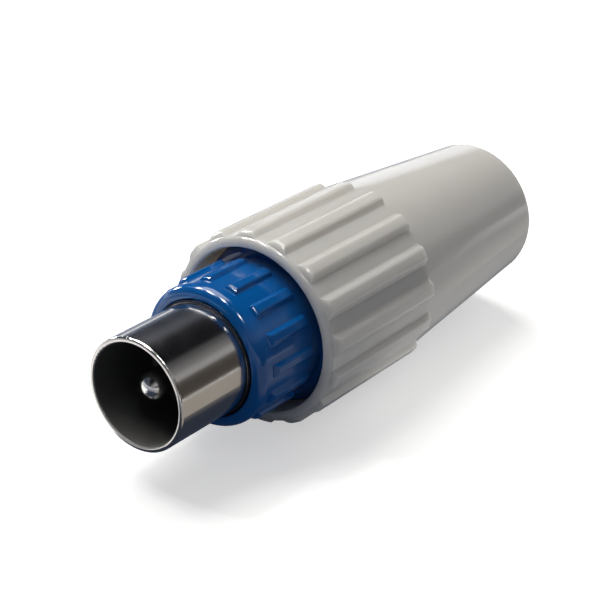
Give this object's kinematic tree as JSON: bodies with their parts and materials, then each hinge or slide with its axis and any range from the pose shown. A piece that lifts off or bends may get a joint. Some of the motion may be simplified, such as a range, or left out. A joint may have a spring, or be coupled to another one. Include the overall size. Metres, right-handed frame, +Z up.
{
  "type": "coaxial plug",
  "caption": "Straight screw-on coaxial aerial plug: plated outer contact with centre pin, ribbed blue collar and ribbed tapered white shell that unscrews, with an inlet for the cable.",
  "frame": {"origin": "on the plug's axis, in the plane of the outer contact's front rim", "axes": "+Y along the plug from its mating end to its cable end; +Z up, as the plug lies on two ribs of its shell; +X to the right, seen from the mating end towards the cable end"},
  "size_m": [0.017, 0.0482, 0.017],
  "materials": {
    "contact_plating": "nickel plated, polished",
    "pin_plating": "nickel plated, polished",
    "insulator_black": "black, satin",
    "screw_steel": "zinc plated",
    "sleeve_plating": "nickel plated, satin",
    "collar_blue": "glossy moulded blue",
    "collet_white": "satin moulded off-white",
    "shell_white": "glossy moulded cream white"
  },
  "bodies": {
    "plug_body": {"outer_contact": "contact_plating", "centre_pin": "pin_plating", "pin_insulator": "insulator_black", "core_screw": "screw_steel", "braid_sleeve": "sleeve_plating", "collar": "collar_blue"},
    "clamp": {"clamp_collet": "collet_white"},
    "shell": {"shell": "shell_white"}
  },
  "joints": [
    {"name": "shell_travel", "type": "slide", "parent": "plug_body", "child": "clamp", "axis": [0, 1, 0], "range_m": [0, 0.009]},
    {"name": "shell_turn", "type": "hinge", "parent": "clamp", "child": "shell", "pos_m": [0, 0.02, 0], "axis": [0, 1, 0], "range_deg": [0, 2160]}
  ],
  "couplings": [
    {"joint": "shell_turn", "follows": "shell_travel", "rad_per_m": 4188.8}
  ]
}
